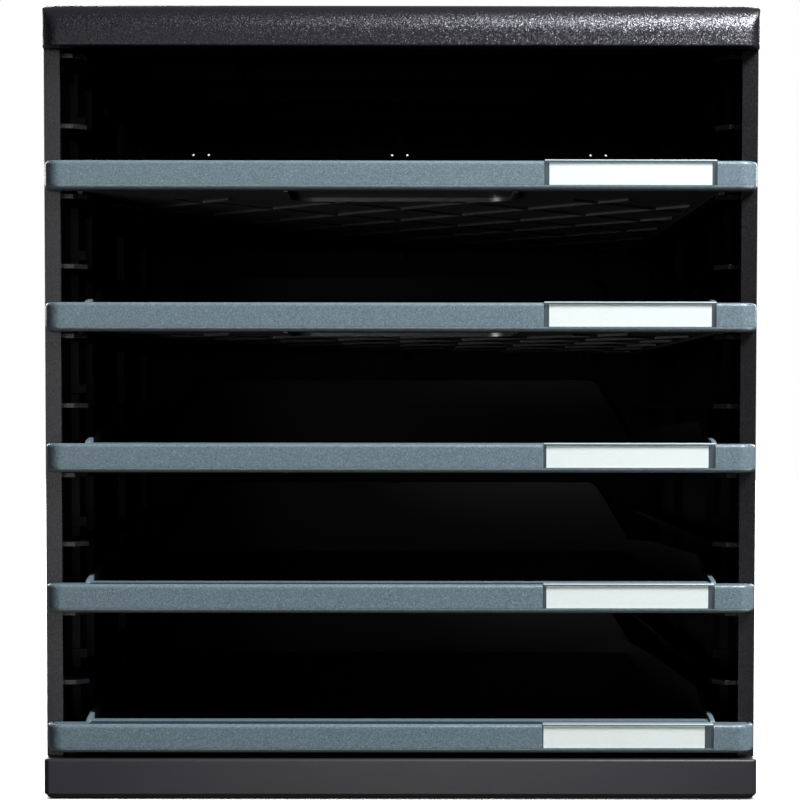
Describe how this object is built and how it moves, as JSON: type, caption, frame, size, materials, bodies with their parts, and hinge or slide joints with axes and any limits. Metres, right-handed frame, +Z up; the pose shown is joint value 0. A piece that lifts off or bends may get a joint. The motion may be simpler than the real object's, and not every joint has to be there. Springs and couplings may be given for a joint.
{
  "type": "letter tray stack with drawers",
  "caption": "Free-standing desk module: open-fronted casing holding shallow letter trays that slide out as drawers, each with a clear label holder on its front bar.",
  "frame": {"origin": "middle of the footprint, on the surface the feet stand on", "axes": "+Z up, +Y from the drawer fronts to the back panel, +X to the right of someone facing the fronts"},
  "size_m": [0.29, 0.347, 0.322],
  "materials": {
    "cover_plastic": "black ABS with a fine sparkling grain",
    "casing_plastic": "charcoal ABS, fine spark-eroded grain",
    "back_plastic": "black polystyrene sheet, satin",
    "front_plastic": "blue-grey ABS with fine metallic flake, satin grain",
    "tray_plastic": "black polystyrene, fine grain",
    "window_clear": "clear moulded polycarbonate",
    "card_paper": "blank white card",
    "foot_rubber": "matt black rubber"
  },
  "bodies": {
    "casing": {"top_cover": "cover_plastic", "base_plinth": "casing_plastic", "side_panel_left": "casing_plastic", "side_panel_right": "casing_plastic", "back_panel": "back_plastic", "foot_front_left": "foot_rubber", "foot_front_right": "foot_rubber", "foot_back_left": "foot_rubber", "foot_back_right": "foot_rubber"},
    "drawer_1": {"drawer_front_1": "front_plastic", "drawer_tray_1": "tray_plastic", "label_window_1": "window_clear", "label_card_1": "card_paper"},
    "drawer_2": {"drawer_front_2": "front_plastic", "drawer_tray_2": "tray_plastic", "label_window_2": "window_clear", "label_card_2": "card_paper"},
    "drawer_3": {"drawer_front_3": "front_plastic", "drawer_tray_3": "tray_plastic", "label_window_3": "window_clear", "label_card_3": "card_paper"},
    "drawer_4": {"drawer_front_4": "front_plastic", "drawer_tray_4": "tray_plastic", "label_window_4": "window_clear", "label_card_4": "card_paper"},
    "drawer_5": {"drawer_front_5": "front_plastic", "drawer_tray_5": "tray_plastic", "label_window_5": "window_clear", "label_card_5": "card_paper"}
  },
  "joints": [
    {"name": "drawer_1_slide", "type": "slide", "parent": "casing", "child": "drawer_1", "axis": [0, -1, 0], "range_m": [0, 0.26]},
    {"name": "drawer_2_slide", "type": "slide", "parent": "casing", "child": "drawer_2", "axis": [0, -1, 0], "range_m": [0, 0.26]},
    {"name": "drawer_3_slide", "type": "slide", "parent": "casing", "child": "drawer_3", "axis": [0, -1, 0], "range_m": [0, 0.26]},
    {"name": "drawer_4_slide", "type": "slide", "parent": "casing", "child": "drawer_4", "axis": [0, -1, 0], "range_m": [0, 0.26]},
    {"name": "drawer_5_slide", "type": "slide", "parent": "casing", "child": "drawer_5", "axis": [0, -1, 0], "range_m": [0, 0.26]}
  ]
}
